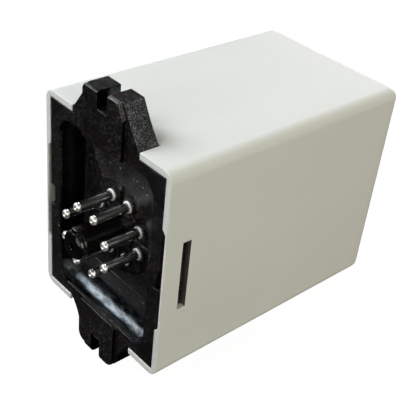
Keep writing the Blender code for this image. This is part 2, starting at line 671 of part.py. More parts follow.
def make_contacts():
    card = relay_block("actuator_card", (BLADE_U + BLADE_THICK + GAP, CARD_TOP), CARD_V,
                       (-5.2, 5.2), "cream_plastic")
    pivot("card_slide", relay_point(CARD_TOP, sum(CARD_V) / 2, 0), card)
    blade_top = BLADE_U + BLADE_THICK
    nc_face = blade_top + CONTACT_RISE + GAP
    no_face = BLADE_U - CONTACT_RISE - 1.1
    for letter, middle in (("a", -BLADE_W), ("b", BLADE_W)):
        width = (middle - BLADE_HALF_WIDTH, middle + BLADE_HALF_WIDTH)
        blade = relay_block(f"moving_blade_{letter}", (BLADE_U, blade_top),
                            (CARD_V[0], BLADE_PIVOT_V + 0.4), width, "spring_bronze")
        join(blade, relay_rod(f"moving_rivet_{letter}", (BLADE_U - CONTACT_RISE, blade_top + CONTACT_RISE),
                              CONTACT_V, middle, CONTACT_RADIUS))
        pivot(f"blade_pivot_{letter}", relay_point(BLADE_U + BLADE_THICK / 2, BLADE_PIVOT_V, middle),
              blade)
        foot = RELAY_FLOOR + GAP
        relay_block(f"common_terminal_{letter}", (foot, BLADE_U - GAP), (12.0, 12.8), width,
                    "tinned_strip")
        nc_strip = nc_face + 0.8
        nc_contact = relay_plate(f"nc_contact_{letter}",
                                 [(foot, 13.2), (nc_strip, 13.2), (nc_strip, 4.6),
                                  (nc_strip + 0.5, 4.6), (nc_strip + 0.5, 13.7), (foot, 13.7)],
                                 width, "tinned_strip")
        join(nc_contact, relay_rod(f"nc_rivet_{letter}", (nc_face, nc_strip + 0.2), CONTACT_V,
                                   middle, CONTACT_RADIUS))
        no_strip = no_face - 0.6
        no_contact = relay_plate(f"no_contact_{letter}",
                                 [(foot, 7.8), (no_strip - 0.5, 7.8), (no_strip - 0.5, 4.6),
                                  (no_strip, 4.6), (no_strip, 8.3), (foot, 8.3)],
                                 width, "tinned_strip")
        join(no_contact, relay_rod(f"no_rivet_{letter}", (no_strip - 0.2, no_face), CONTACT_V,
                                   middle, CONTACT_RADIUS))


# ---------------------------------------------------------------- front face

def make_adjuster():
    half = 5.5
    body_y = (FRONT_BOARD_FRONT + GAP, FRONT_BOARD_FRONT + GAP + 6.5)
    body = block("adjuster_body", (-half, half), body_y, (KNOB_Z - half, KNOB_Z + half),
                 "dark_resin", radius=0.4, segments=1)
    bore_end = body_y[0] + 2.0
    cut(body, rod("adjuster_bore", (0, bore_end, KNOB_Z), (0, body_y[1] + 2, KNOB_Z),
                  SHAFT_RADIUS + GAP))
    shaft = rod("adjuster_shaft", (0, bore_end + GAP, KNOB_Z), (0, SHAFT_END, KNOB_Z),
                SHAFT_RADIUS, "cream_plastic")
    length = KNOB_Y[1] - KNOB_Y[0]
    bore = SHAFT_RADIUS + GAP
    bore_depth = SHAFT_END - KNOB_Y[0] + GAP
    knob = turned("adjuster_knob",
                  [(0, length), (KNOB_RADIUS - 1.6, length), (KNOB_RADIUS - 0.8, length - 0.8),
                   (KNOB_RADIUS - 0.2, 2.2), (KNOB_RADIUS, 2.0), (KNOB_RADIUS, 0), (bore, 0),
                   (bore, bore_depth), (0, bore_depth)],
                  (0, KNOB_Y[0], KNOB_Z), (0, 1, 0), "black_plastic", sides=24)
    pivot("knob_axis", (0, COVER_DEPTH, KNOB_Z), shaft, knob)


def make_lights():
    chip_top = FRONT_BOARD_FRONT + GAP + 1.8
    pipe_start = chip_top + GAP
    pipe_end = COVER_DEPTH + 0.6
    shoulder = FRONT_INSIDE - GAP - pipe_start
    length = pipe_end - pipe_start
    for name, side, lens in (("power", -1, "green_lens"), ("relay", 1, "amber_lens")):
        x = side * LIGHT_X
        block(f"led_{name}", (x - 1.5, x + 1.5), (FRONT_BOARD_FRONT + GAP, chip_top),
              (LIGHT_Z - 1, LIGHT_Z + 1), "cream_plastic")
        turned(f"light_pipe_{name}",
               [(0, length), (LIGHT_RADIUS - 0.5, length - 0.15), (LIGHT_RADIUS, length - 0.7),
                (LIGHT_RADIUS, shoulder), (LIGHT_RADIUS + 1, shoulder),
                (LIGHT_RADIUS + 1, shoulder - 1), (LIGHT_RADIUS, shoulder - 1),
                (LIGHT_RADIUS, 0), (0, 0)],
               (x, pipe_start, LIGHT_Z), (0, 1, 0), lens, sides=12)


def make_label():
    face_y = COVER_DEPTH - LABEL_RECESS + GAP
    label = block("front_label", (-LABEL_HALF[0], LABEL_HALF[0]), (face_y, face_y + LABEL_THICK),
                  (-LABEL_HALF[1], LABEL_HALF[1]), "label_film")
    through = (face_y - 1, face_y + 1)
    cut(label, rod("label_shaft_hole", (0, through[0], KNOB_Z), (0, through[1], KNOB_Z), SHAFT_HOLE_RADIUS))
    for side in (-1, 1):
        cut(label, rod(f"label_light_hole_{side}", (side * LIGHT_X, through[0], LIGHT_Z),
                       (side * LIGHT_X, through[1], LIGHT_Z), LIGHT_RADIUS + GAP, sides=12))


make_cover()
make_base()
make_pins()
make_wires()
make_boards()
make_board_parts()
make_transformer()
make_relay_housing()
make_electromagnet()
make_armature()
make_contacts()
make_adjuster()
make_lights()
make_label()
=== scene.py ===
"""The looks of a plug-in relay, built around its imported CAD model.

The frame is in metres, +Z up, +Y from the pins into the case. Sizes and places here are millimetres,
measured from the centre of the pin circle on the plane of the cover's open rim.
"""
import json
import math

import bmesh
import bpy
from mathutils import Matrix, Vector


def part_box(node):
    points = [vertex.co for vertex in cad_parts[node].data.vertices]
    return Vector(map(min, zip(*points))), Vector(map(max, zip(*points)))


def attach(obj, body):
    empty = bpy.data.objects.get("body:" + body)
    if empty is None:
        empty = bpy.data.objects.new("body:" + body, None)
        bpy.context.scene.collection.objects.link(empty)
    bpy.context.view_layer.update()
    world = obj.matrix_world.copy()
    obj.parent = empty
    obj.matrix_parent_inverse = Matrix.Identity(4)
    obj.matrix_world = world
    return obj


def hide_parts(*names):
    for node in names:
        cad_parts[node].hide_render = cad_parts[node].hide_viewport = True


MM = 0.001
WELD_DISTANCE = 1e-7            # metres

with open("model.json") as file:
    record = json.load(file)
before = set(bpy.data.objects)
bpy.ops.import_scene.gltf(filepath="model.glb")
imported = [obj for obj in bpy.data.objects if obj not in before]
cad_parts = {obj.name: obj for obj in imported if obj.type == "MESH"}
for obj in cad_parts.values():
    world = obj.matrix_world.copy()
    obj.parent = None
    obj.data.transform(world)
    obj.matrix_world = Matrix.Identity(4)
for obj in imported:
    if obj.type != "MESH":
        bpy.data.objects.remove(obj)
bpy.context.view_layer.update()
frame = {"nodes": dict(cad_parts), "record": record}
CASE = "case"
PIN_COUNT = 8
PIN_NAMES = [f"pin_{number}" for number in range(1, PIN_COUNT + 1)]


def pin_circle_centre():
    """The frame's point that every place here is measured from, in metres."""
    middles = [sum(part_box(name), Vector()) / 2 for name in PIN_NAMES]
    centre = sum(middles, Vector()) / PIN_COUNT
    return Vector((centre.x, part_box("case_cover")[0].y, centre.z))


ZERO = pin_circle_centre()


def spot(point):
    return ZERO + Vector(point) * MM


def box(node):
    """Lowest and highest corner of a CAD node, in millimetres from the pin circle's centre."""
    low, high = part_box(node)
    return (low - ZERO) / MM, (high - ZERO) / MM


COVER_LOW, COVER_HIGH = box("case_cover")
BASE_LOW, BASE_HIGH = box("plug_base")
GAP = 0.3

# Cover
SIDE_WALL = 1.75
TOP_WALL = 1.75
FRONT_WALL = 2.0
EDGE_RADIUS = 2.9
INNER_X = COVER_HIGH.x - SIDE_WALL
INNER_Z = COVER_HIGH.z - TOP_WALL
EAR_NOTCH = (13.1, 6.0)             # half width, depth
RELIEF = (15.0, 1.1, 3.0)           # half height, cut into the wall, depth
WINDOW_Y = (5.2, 7.7)
WINDOW_HALF = 10.1
LABEL_RECESS = 0.7

# Plug base
RIM = 0.1
PLATE_FACE = -0.95
FLOOR = 5.48
BASE_BACK = 7.8
POCKET_X = 18.5
POCKET_Z = (-25.0, 24.9)
POCKET_RADIUS = 4.6
EAR_ROOT_HALF = 12.8
EAR_BACK = 5.7
EAR_SLOT_HALF = 1.9
EAR_CORNER = 2.5
PLATE_HALF = 7.6
TOP_SLOT_FLOOR = 34.2
BOTTOM_SLOT_FLOOR = -34.0
LEFT_LUG_DROP = 0.5                 # how much lower the upper ear's left lug is
FOOT_DROP = 1.8                     # how far the lower lugs swell below their plate
PRY_NOTCH = (20.7, 2.9, 2.2)        # inner x, half height, depth
RAIL = (1.2, 22.6, 25.4)            # thickness, lowest and highest z
SPIGOT_RADIUS = 3.8
PIN_CIRCLE = 8.725
PIN_RADIUS = 1.18
RING = (5.4, 12.9, 0.55)            # inner radius, outer radius, depth of the sunk ring
RING_RIB = 1.0
COLLAR_RADIUS = 1.6


# ---------------------------------------------------------------- mesh helpers

def mesh_from(name, shape):
    """Moves a shape drawn in millimetres into the frame and makes it an object."""
    bmesh.ops.scale(shape, vec=(MM, MM, MM), verts=shape.verts)
    bmesh.ops.translate(shape, vec=ZERO, verts=shape.verts)
    mesh = bpy.data.meshes.new(name)
    shape.to_mesh(mesh)
    shape.free()
    obj = bpy.data.objects.new(name, mesh)
    bpy.context.scene.collection.objects.link(obj)
    return obj


def block(name, x, y, z, radius=0.0, segments=3, keep_sharp=None):
    """A box between the given values. Its edges are rounded if asked, apart from those whose ends
    all pass the keep_sharp test."""
    ranges = (x, y, z)
    shape = bmesh.new()
    bmesh.ops.create_cube(shape, size=1.0)
    bmesh.ops.scale(shape, vec=Vector([high - low for low, high in ranges]), verts=shape.verts)
    centre = Vector([(low + high) / 2 for low, high in ranges])
    bmesh.ops.translate(shape, vec=centre, verts=shape.verts)
    if radius:
        edges = [edge for edge in shape.edges
                 if not (keep_sharp and all(keep_sharp(vert.co) for vert in edge.verts))]
        bmesh.ops.bevel(shape, geom=edges, offset=radius, segments=segments, profile=0.5,
                        affect="EDGES", clamp_overlap=True)
    return mesh_from(name, shape)


def rod(name, start, end, radius, sides=48):
    start, end = Vector(start), Vector(end)
    turn = Vector((0, 0, 1)).rotation_difference(end - start).to_matrix().to_4x4()
    shape = bmesh.new()
    bmesh.ops.create_cone(shape, cap_ends=True, segments=sides, radius1=radius, radius2=radius,
                          depth=(end - start).length,
                          matrix=Matrix.Translation((start + end) / 2) @ turn)
    return mesh_from(name, shape)


def turned(name, profile, at, axis, sides=48, wobble=None):
    """A (radius, height) profile turned about an axis, listed from the top down its outside.
    wobble(angle, radius, height) may change the radius, for flutes."""
    turn = Vector((0, 0, 1)).rotation_difference(Vector(axis)).to_matrix().to_4x4()
    matrix = Matrix.Translation(Vector(at)) @ turn
    shape = bmesh.new()
    rings = []
    for radius, height in profile:
        if radius == 0:
            rings.append([shape.verts.new(matrix @ Vector((0, 0, height)))])
            continue
        ring = []
        for step in range(sides):
            angle = 2 * math.pi * step / sides
            r = wobble(angle, radius, height) if wobble else radius
            ring.append(shape.verts.new(matrix @ Vector((r * math.cos(angle), r * math.sin(angle),
                                                         height))))
        rings.append(ring)
    for upper, lower in zip(rings, rings[1:]):
        for step in range(sides):
            after = (step + 1) % sides
            corners = [upper[step % len(upper)], lower[step % len(lower)],
                       lower[after % len(lower)], upper[after % len(upper)]]
            shape.faces.new(list(dict.fromkeys(corners)))
    bmesh.ops.recalc_face_normals(shape, faces=shape.faces)
    return mesh_from(name, shape)


def prism(name, outline, low, high):
    """An (x, z) outline, run along Y from low to high."""
    shape = bmesh.new()
    face = shape.faces.new([shape.verts.new((x, low, z)) for x, z in outline])
    run = bmesh.ops.extrude_face_region(shape, geom=[face])
    moved = [item for item in run["geom"] if isinstance(item, bmesh.types.BMVert)]
    bmesh.ops.translate(shape, vec=(0, high - low, 0), verts=moved)
    bmesh.ops.recalc_face_normals(shape, faces=shape.faces)
    return mesh_from(name, shape)


def wedge(x, low, high):
    """A prism run along X whose slanted side goes from one (y, z) point to another, for a chamfer."""
    shape = bmesh.new()
    outline = [(low[0], low[1]), (high[0], high[1]), (high[0], high[1] + 2), (low[0] - 2, high[1] + 2),
               (low[0] - 2, low[1])]
    face = shape.faces.new([shape.verts.new((x[0], y, z)) for y, z in outline])
    run = bmesh.ops.extrude_face_region(shape, geom=[face])
    moved = [item for item in run["geom"] if isinstance(item, bmesh.types.BMVert)]
    bmesh.ops.translate(shape, vec=(x[1] - x[0], 0, 0), verts=moved)
    bmesh.ops.recalc_face_normals(shape, faces=shape.faces)
    return shape


def radial_bar(angle, near, far, width):
    """The (x, z) outline of a bar that points away from the pin circle's centre."""
    along = Vector((math.cos(math.radians(angle)), math.sin(math.radians(angle))))
    across = Vector((-along.y, along.x)) * width / 2
    corners = [along * near - across, along * far - across, along * far + across, along * near + across]
    return [tuple(corner) for corner in corners]


def arc(centre, radius, start, end, count):
    angles = [math.radians(start + (end - start) * step / count) for step in range(count + 1)]
    return [(centre[0] + radius * math.cos(a), centre[1] + radius * math.sin(a)) for a in angles]


def mirrored(half):
    return half + [(-x, z) for x, z in reversed(half)]


def apply_modifiers(obj):
    bpy.context.view_layer.update()
    evaluated = obj.evaluated_get(bpy.context.evaluated_depsgraph_get())
    mesh = bpy.data.meshes.new_from_object(evaluated)
    obj.modifiers.clear()
    obj.data = mesh


def combine(body, operation, *tools):
    """Cuts or joins the tools into the body at once, then removes them."""
    for tool in tools:
        modifier = body.modifiers.new("combine", "BOOLEAN")
        modifier.operation = operation
        modifier.object = tool
        modifier.solver = "EXACT"
        apply_modifiers(body)
        bpy.data.objects.remove(tool, do_unlink=True)


def cut(body, *tools):
    combine(body, "DIFFERENCE", *tools)


def join(body, *tools):
    combine(body, "UNION", *tools)


def smooth(obj, angle=50):
    obj.data.shade_smooth()
    obj.data.set_sharp_from_angle(angle=math.radians(angle))


def soften(obj, width):
    """Breaks the sharp edges with a small radius and shades the rest smooth."""
    bevel = obj.modifiers.new("soft_edges", "BEVEL")
    bevel.width = width * MM
    bevel.segments = 2
    bevel.limit_method = "ANGLE"
    bevel.angle_limit = math.radians(35)
    bevel.miter_outer = "MITER_ARC"
    apply_modifiers(obj)
    even_shading(obj)


def even_shading(obj):
    """Shades the faces smooth up to the sharp edges, with the large faces flat."""
    smooth(obj)
    normals = obj.modifiers.new("even_normals", "WEIGHTED_NORMAL")
    normals.keep_sharp = True
    apply_modifiers(obj)


def weld(obj):
    """Merges the points that cutting and joining left on top of each other."""
    mesh = bmesh.new()
    mesh.from_mesh(obj.data)
    bmesh.ops.remove_doubles(mesh, verts=mesh.verts, dist=WELD_DISTANCE)
    mesh.to_mesh(obj.data)
    mesh.free()


def finish_piece(obj, body, slot, *materials, stands_for=()):
    """Gives a piece its materials and its body, and hides the CAD nodes it stands for. slot is not used."""
    if materials:
        obj.data.materials.clear()
    for material in materials:
        obj.data.materials.append(material)
    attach(obj, body)
    if stands_for:
        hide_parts(*stands_for)
    return obj


# ---------------------------------------------------------------- material helpers

class Nodes:
    """A Principled material with its nodes, built step by step. Scales count features in a metre."""

    def __init__(self, name):
        self.material = bpy.data.materials.new(name)
        self.material.use_nodes = True
        self.tree = self.material.node_tree
        self.shader = self.tree.nodes["Principled BSDF"]
        self.place = self.add("ShaderNodeTexCoord").outputs["Object"]

    def add(self, kind, **settings):
        node = self.tree.nodes.new(kind)
        for key, value in settings.items():
            setattr(node, key, value)
        return node

    def fill(self, socket, value):
        if isinstance(value, tuple):
            socket.default_value = (*value, 1.0)
        elif isinstance(value, (int, float)):
            socket.default_value = value
        else:
            self.tree.links.new(value, socket)

    def where(self, stretch=None, moved=(0, 0, 0)):
        """The place on the object, stretched along its axes and moved, for a texture to read."""
        if not stretch and not any(moved):
            return self.place
        node = self.add("ShaderNodeMapping")
        node.inputs["Scale"].default_value = stretch or (1, 1, 1)
        node.inputs["Location"].default_value = moved
        self.fill(node.inputs["Vector"], self.place)
        return node.outputs["Vector"]

    def noise(self, scale, detail=3.0, roughness=0.5, stretch=None, moved=(0, 0, 0)):
        node = self.add("ShaderNodeTexNoise")
        node.inputs["Scale"].default_value = scale
        node.inputs["Detail"].default_value = detail
        node.inputs["Roughness"].default_value = roughness
        self.fill(node.inputs["Vector"], self.where(stretch, moved))
        return node.outputs["Fac"]

    def spots(self, scale, size, stretch=None):
        """Small scattered dots: 1 inside a dot and 0 outside."""
        node = self.add("ShaderNodeTexVoronoi")
        node.inputs["Scale"].default_value = scale
        self.fill(node.inputs["Vector"], self.where(stretch))
        return self.ramp(node.outputs["Distance"], size * 0.6, size, 1.0, 0.0)

    def stripes(self, count, direction="X", distortion=0.0):
        """Even bands along an axis, count of them in a metre."""
        node = self.add("ShaderNodeTexWave", bands_direction=direction)
        node.inputs["Scale"].default_value = count / 3.1831
        node.inputs["Distortion"].default_value = distortion
        self.fill(node.inputs["Vector"], self.place)
        return node.outputs["Fac"]

    def ramp(self, value, low, high, out_low, out_high):
        node = self.add("ShaderNodeMapRange")
        for key, number in (("From Min", low), ("From Max", high), ("To Min", out_low),
                            ("To Max", out_high)):
            node.inputs[key].default_value = number
        self.fill(node.inputs["Value"], value)
        return node.outputs["Result"]

    def math(self, operation, first, second=0.0):
        node = self.add("ShaderNodeMath", operation=operation)
        self.fill(node.inputs[0], first)
        self.fill(node.inputs[1], second)
        return node.outputs["Value"]

    def axis(self, letter):
        """The place along one axis, in millimetres from the pin circle's centre."""
        split = self.add("ShaderNodeSeparateXYZ")
        self.fill(split.inputs["Vector"], self.place)
        shifted = self.math("SUBTRACT", split.outputs[letter], ZERO["XYZ".index(letter)])
        return self.math("DIVIDE", shifted, MM)

    def mix(self, factor, first, second):
        node = self.add("ShaderNodeMix", data_type="RGBA")
        self.fill(node.inputs["Factor"], factor)
        self.fill(node.inputs[6], first)
        self.fill(node.inputs[7], second)
        return node.outputs[2]

    def edges(self, width):
        """1 on edges of about this width in millimetres and 0 on flat ground."""
        bevel = self.add("ShaderNodeBevel", samples=4)
        bevel.inputs["Radius"].default_value = width * MM
        geometry = self.add("ShaderNodeNewGeometry")
        dot = self.add("ShaderNodeVectorMath", operation="DOT_PRODUCT")
        self.fill(dot.inputs[0], bevel.outputs["Normal"])
        self.fill(dot.inputs[1], geometry.outputs["Normal"])
        return self.ramp(dot.outputs["Value"], 0.98, 0.80, 0.0, 1.0)

    def bump(self, height, depth, strength=1.0, rounding=0.0):
        """Depth is in millimetres, and rounding is the radius that sharp edges are shaded with."""
        node = self.add("ShaderNodeBump")
        if rounding:
            bevel = self.add("ShaderNodeBevel", samples=6)
            bevel.inputs["Radius"].default_value = rounding * MM
            self.fill(node.inputs["Normal"], bevel.outputs["Normal"])
        node.inputs["Strength"].default_value = strength
        node.inputs["Distance"].default_value = depth * MM
        self.fill(node.inputs["Height"], height)
        self.fill(self.shader.inputs["Normal"], node.outputs["Normal"])

    def set(self, **values):
        for key, value in values.items():
            self.fill(self.shader.inputs[key.replace("_", " ").title().replace("Ior", "IOR")], value)
        return self.material


def pale_moulding():
    """Satin moulded plastic with soft clouding along the flow of the moulding."""
    n = Nodes("pale_moulding")
    cloud = n.noise(35, detail=4)
    flow = n.noise(60, detail=2, stretch=(1.0, 0.15, 1.0))
    tone = n.math("ADD", n.math("MULTIPLY", cloud, 0.6), n.math("MULTIPLY", flow, 0.4))
    body = n.mix(n.ramp(tone, 0.35, 0.65, 0.0, 1.0), (0.690, 0.700, 0.665), (0.725, 0.733, 0.700))
    warm = n.ramp(n.axis("Y"), 20, 78, 0.0, 0.55)
    body = n.mix(warm, body, (0.735, 0.715, 0.680))
    # Paler along the edges: edge wear and a painted highlight along the rounded edges.
    wear_and_highlight = n.math("MULTIPLY", n.edges(0.35), 0.5)
    colour = n.mix(wear_and_highlight, body, (0.86, 0.86, 0.83))
    n.bump(n.noise(2600, detail=2), 0.010, 0.5, rounding=0.3)
    return n.set(base_color=colour, roughness=n.ramp(n.noise(400), 0.3, 0.7, 0.42, 0.52))


def shaded_moulding():
    """The inner edges of the latch windows: the cover's plastic, darkened in place of deep shade."""
    n = Nodes("shaded_moulding")
    cloud = n.ramp(n.noise(300, detail=4), 0.3, 0.7, 0.0, 1.0)
    n.bump(n.noise(2600, detail=2), 0.010, 0.5)
    return n.set(base_color=n.mix(cloud, (0.080, 0.079, 0.062), (0.110, 0.108, 0.086)), roughness=0.6)


def black_moulding(name, base, grain, rough, flecks=None, edge=0.10, gloss=0.06, shine=0.5,
                   dark_below=None):
    """Black phenolic with brownish clouds. base is its colour, grain the (size, depth) of its texture
    in millimetres, flecks the (share, colour) of the pale scratches in it, which on the ears' flanks
    are bluish painted glints, and how clean it is of dust, gloss how far its roughness wanders, shine
    how strongly it mirrors, edge how strongly its edges are painted lighter as a painted highlight, and
    dark_below the height in millimetres under which it turns fully black, in place of deep shade."""
    n = Nodes(name)
    size, depth = grain
    texture = n.noise(1 / (size * MM), detail=3, roughness=0.6, stretch=(0.55, 1.0, 1.0))
    cloud = n.ramp(n.noise(70, detail=3), 0.38, 0.62, 0.0, 1.0)
    red, green, blue = base
    colour = n.mix(cloud, base, (red * 1.5, green * 1.1, blue * 0.9))
    colour = n.mix(n.ramp(texture, 0.30, 0.55, 0.55, 0.0), colour, (0, 0, 0))
    if flecks:
        share, tint, clean = flecks
        wear_and_highlight = n.ramp(n.noise(110, detail=3), 0.38, 0.62, 0.15, 1.0)
        scratch = n.ramp(texture, 0.62 - 0.16 * share, 0.74 - 0.12 * share, 0.0, 1.0)
        near = n.ramp(n.noise(60), clean, clean + 0.06, 0.0, 1.0)
        dust = n.math("MULTIPLY", n.spots(620, 0.17, stretch=(0.6, 1.0, 1.0)), near)
        colour = n.mix(n.math("MULTIPLY", scratch, wear_and_highlight), colour, tint)
        colour = n.mix(dust, colour, (0.30, 0.29, 0.27))
    if dark_below is not None:
        shade = n.ramp(n.axis("Z"), dark_below - 2, dark_below + 4, 1.0, 0.0)
        colour = n.mix(shade, colour, (0.0008, 0.0008, 0.0009))
    # Lighter along the edges: a painted highlight in place of bright edge lines.
    if edge:
        colour = n.mix(n.math("MULTIPLY", n.edges(0.2), edge), colour, (0.10, 0.10, 0.11))
    n.bump(texture, depth, rounding=0.25)
    patch = n.noise(900, detail=4, stretch=(0.4, 1.0, 1.0))
    return n.set(base_color=colour, roughness=n.ramp(patch, 0.35, 0.65, rough - gloss, rough + gloss),
                 specular_ior_level=n.ramp(patch, 0.38, 0.60, shine - 2.6 * gloss, shine + 1.2 * gloss))


def pocket_wall():
    """Glossy near the open rim, duller towards the floor and in the left corner, with cloudy patches."""
    n = Nodes("black_wall")
    texture = n.noise(2300, detail=4, roughness=0.65, stretch=(0.5, 1.0, 1.0))
    patch = n.noise(900, detail=4, stretch=(0.4, 1.0, 1.0))
    inward = n.ramp(n.axis("Y"), 0.8, 5.0, 0.12, 0.31)
    corner = n.ramp(n.axis("X"), -17.5, -11.0, 0.22, 0.0)
    rough = n.math("ADD", n.math("ADD", inward, corner), n.ramp(patch, 0.35, 0.65, -0.05, 0.08))
    n.bump(texture, 0.016, rounding=0.25)
    return n.set(base_color=n.mix(texture, (0.0006, 0.0006, 0.0008), (0.0016, 0.0015, 0.0016)),
                 roughness=rough, specular_tint=(0.84, 0.94, 1.0),
                 specular_ior_level=n.ramp(patch, 0.40, 0.60, 0.26, 0.80))


def nickel_plate():
    """Bright plate with fine scratches along the pins and a few dull stains."""
    n = Nodes("nickel_plate")
    streak = n.noise(1100, detail=4, stretch=(1.0, 0.08, 1.0))
    stain = n.noise(260, detail=4)
    colour = n.mix(n.ramp(stain, 0.45, 0.75, 0.0, 0.7), (0.74, 0.74, 0.72), (0.30, 0.29, 0.26))
    n.bump(streak, 0.012, 0.6)
    return n.set(base_color=colour, metallic=1.0, roughness=n.ramp(streak, 0.3, 0.7, 0.12, 0.30))


def bright_metal(name, rough, depth, metal, dull=0.60):
    """Whitish, rough metal: the soldered tips of the pins and the cut faces of their collars."""
    n = Nodes(name)
    cloud = n.noise(1500, detail=3)
    n.bump(cloud, depth, 0.8)
    colour = n.mix(n.ramp(cloud, 0.48, 0.78, 0.0, 1.0), (0.95, 0.95, 0.93), (dull, dull, dull))
    return n.set(base_color=colour, metallic=metal, roughness=rough)


def circuit_board():
    """Green mask over copper tracks, with pale spots and a woven texture."""
    n = Nodes("circuit_board")
    bricks = n.add("ShaderNodeTexBrick", offset=0.37)
    bricks.inputs["Scale"].default_value = 260
    bricks.inputs["Mortar Size"].default_value = 0.10
    turned_place = n.add("ShaderNodeMapping")
    turned_place.inputs["Rotation"].default_value = (0, math.radians(90), 0)
    n.fill(turned_place.inputs["Vector"], n.place)
    n.fill(bricks.inputs["Vector"], turned_place.outputs["Vector"])
    tracks = n.ramp(bricks.outputs["Fac"], 0.3, 0.7, 0.0, 1.0)
    mask = n.mix(tracks, (0.006, 0.075, 0.022), (0.015, 0.16, 0.045))
    rings = n.spots(330, 0.20)
    colour = n.mix(n.math("MULTIPLY", rings, 0.8), mask, (0.72, 0.70, 0.60))
    weave = n.math("ADD", n.stripes(2500, "Y"), n.stripes(2500, "Z"))
    n.bump(n.math("ADD", n.math("MULTIPLY", weave, 0.2), tracks), 0.03)
    return n.set(base_color=colour, roughness=n.ramp(tracks, 0, 1, 0.32, 0.24))


def dark_resin():
    n = Nodes("dark_resin")
    grain = n.noise(3200, detail=2)
    cloud = n.ramp(n.noise(220, detail=3), 0.3, 0.7, 0.0, 1.0)
    n.bump(grain, 0.02)
    return n.set(base_color=n.mix(cloud, (0.012, 0.012, 0.013), (0.026, 0.026, 0.028)),
                 roughness=n.ramp(grain, 0.3, 0.7, 0.42, 0.6))


def copper_winding():
    """Close turns of enamelled wire about the X axis."""
    n = Nodes("copper_winding")
    turns = n.stripes(4200, "X", distortion=0.6)
    layer = n.ramp(n.noise(500, detail=3, stretch=(0.2, 1, 1)), 0.3, 0.7, 0.0, 1.0)
    n.bump(turns, 0.10)
    body = n.mix(layer, (0.48, 0.13, 0.035), (0.70, 0.24, 0.08))
    # Darker between the turns: painted shade in the grooves between the wires.
    return n.set(base_color=n.mix(turns, (0.16, 0.04, 0.012), body), metallic=0.75,
                 roughness=0.32, coat_weight=0.6)


def iron_sheet():
    """Plated iron with a fine grain and a little tarnish in patches."""
    n = Nodes("iron_sheet")
    grain = n.noise(900, detail=4, stretch=(0.1, 1, 1))
    rust = n.ramp(n.noise(420, detail=5), 0.56, 0.74, 0.0, 0.5)
    body = n.mix(n.ramp(grain, 0.3, 0.7, 0.0, 1.0), (0.40, 0.40, 0.39), (0.58, 0.58, 0.56))
    colour = n.mix(rust, body, (0.20, 0.15, 0.10))
    n.bump(grain, 0.01)
    return n.set(base_color=colour, metallic=0.95, roughness=n.ramp(grain, 0.3, 0.7, 0.28, 0.42))


def core_laminations():
    """A stack of thin sheets along Y, varnished."""
    n = Nodes("core_laminations")
    sheets = n.stripes(2000, "Y", distortion=0.15)
    blue = n.ramp(n.noise(180, detail=4), 0.35, 0.7, 0.0, 1.0)
    body = n.mix(blue, (0.13, 0.13, 0.14), (0.22, 0.21, 0.20))
    n.bump(sheets, 0.06)
    return n.set(base_color=n.mix(sheets, (0.03, 0.03, 0.03), body), metallic=0.8,
                 roughness=0.45, coat_weight=0.3)


def strip_metal(name, colour, dull):
    """Rolled strip with grain along the case and warm tarnish."""
    n = Nodes(name)
    grain = n.noise(1500, detail=3, stretch=(1, 0.06, 1))
    tarnish = n.ramp(n.noise(380, detail=4), 0.45, 0.75, 0.0, 0.7)
    n.bump(grain, 0.008)
    return n.set(base_color=n.mix(tarnish, colour, dull), metallic=1.0,
                 roughness=n.ramp(grain, 0.3, 0.7, 0.20, 0.34))


def soft_plastic(name, colour, deep, rough=0.42, glow=0.06):
    """Moulded or extruded plastic with a little light inside it."""
    n = Nodes(name)
    cloud = n.ramp(n.noise(240, detail=4), 0.3, 0.7, 0.0, 1.0)
    n.bump(n.noise(2400, detail=2), 0.012)
    return n.set(base_color=n.mix(cloud, colour, deep), subsurface_weight=glow,
                 subsurface_scale=0.001, roughness=n.ramp(cloud, 0, 1, rough - 0.06, rough + 0.06))


def clear_cover():
    n = Nodes("clear_cover")
    haze = n.ramp(n.noise(300, detail=4), 0.4, 0.7, 0.04, 0.16)
    n.bump(n.noise(700, detail=2), 0.006)
    return n.set(base_color=(0.90, 0.94, 0.96), roughness=haze, transmission_weight=0.95, ior=1.58)


def resistor_body():
    """Tan coating with four colour bands along X."""
    n = Nodes("resistor_body")
    colour = n.mix(n.noise(900, detail=3), (0.58, 0.40, 0.20), (0.66, 0.50, 0.28))
    along = n.math("FRACT", n.math("DIVIDE", n.axis("X"), 9.0))
    for middle, paint in ((0.25, (0.30, 0.08, 0.02)), (0.40, (0.45, 0.02, 0.02)),
                          (0.55, (0.75, 0.45, 0.03)), (0.75, (0.55, 0.42, 0.12))):
        near = n.math("COMPARE", along, middle)
        near.node.inputs[2].default_value = 0.035
        colour = n.mix(near, colour, paint)
    return n.set(base_color=colour, roughness=0.38, coat_weight=0.4)


def lens(name, colour, deep):
    """A light pipe: tinted, clear, and with a faint painted glow as if lit from behind."""
    n = Nodes(name)
    cloud = n.ramp(n.noise(700, detail=2), 0.3, 0.7, 0.0, 1.0)
    body = n.mix(cloud, colour, deep)
    n.bump(n.noise(1200), 0.01)
    return n.set(base_color=body, roughness=0.16, transmission_weight=0.55, ior=1.49,
                 emission_color=body, emission_strength=0.12, coat_weight=0.5)


def printed_label():
    """A satin film with a darker band, a thin border and a fine texture."""
    n = Nodes("printed_label")
    x, z = n.math("ABSOLUTE", n.axis("X")), n.axis("Z")
    upright = n.math("ABSOLUTE", z)
    grain = n.noise(1800, detail=2)
    film = n.mix(n.ramp(grain, 0.3, 0.7, 0.0, 1.0), (0.46, 0.47, 0.47), (0.50, 0.51, 0.51))
    dark = n.mix(n.ramp(grain, 0.3, 0.7, 0.0, 1.0), (0.035, 0.045, 0.060), (0.045, 0.055, 0.072))
    colour = n.mix(n.math("LESS_THAN", z, -11.5), film, dark)
    frame_edge = n.math("MAXIMUM", n.math("GREATER_THAN", x, 18.2), n.math("GREATER_THAN", upright, 24.2))
    colour = n.mix(frame_edge, colour, (0.60, 0.61, 0.61))
    n.bump(grain, 0.006)
    return n.set(base_color=colour, roughness=0.38)


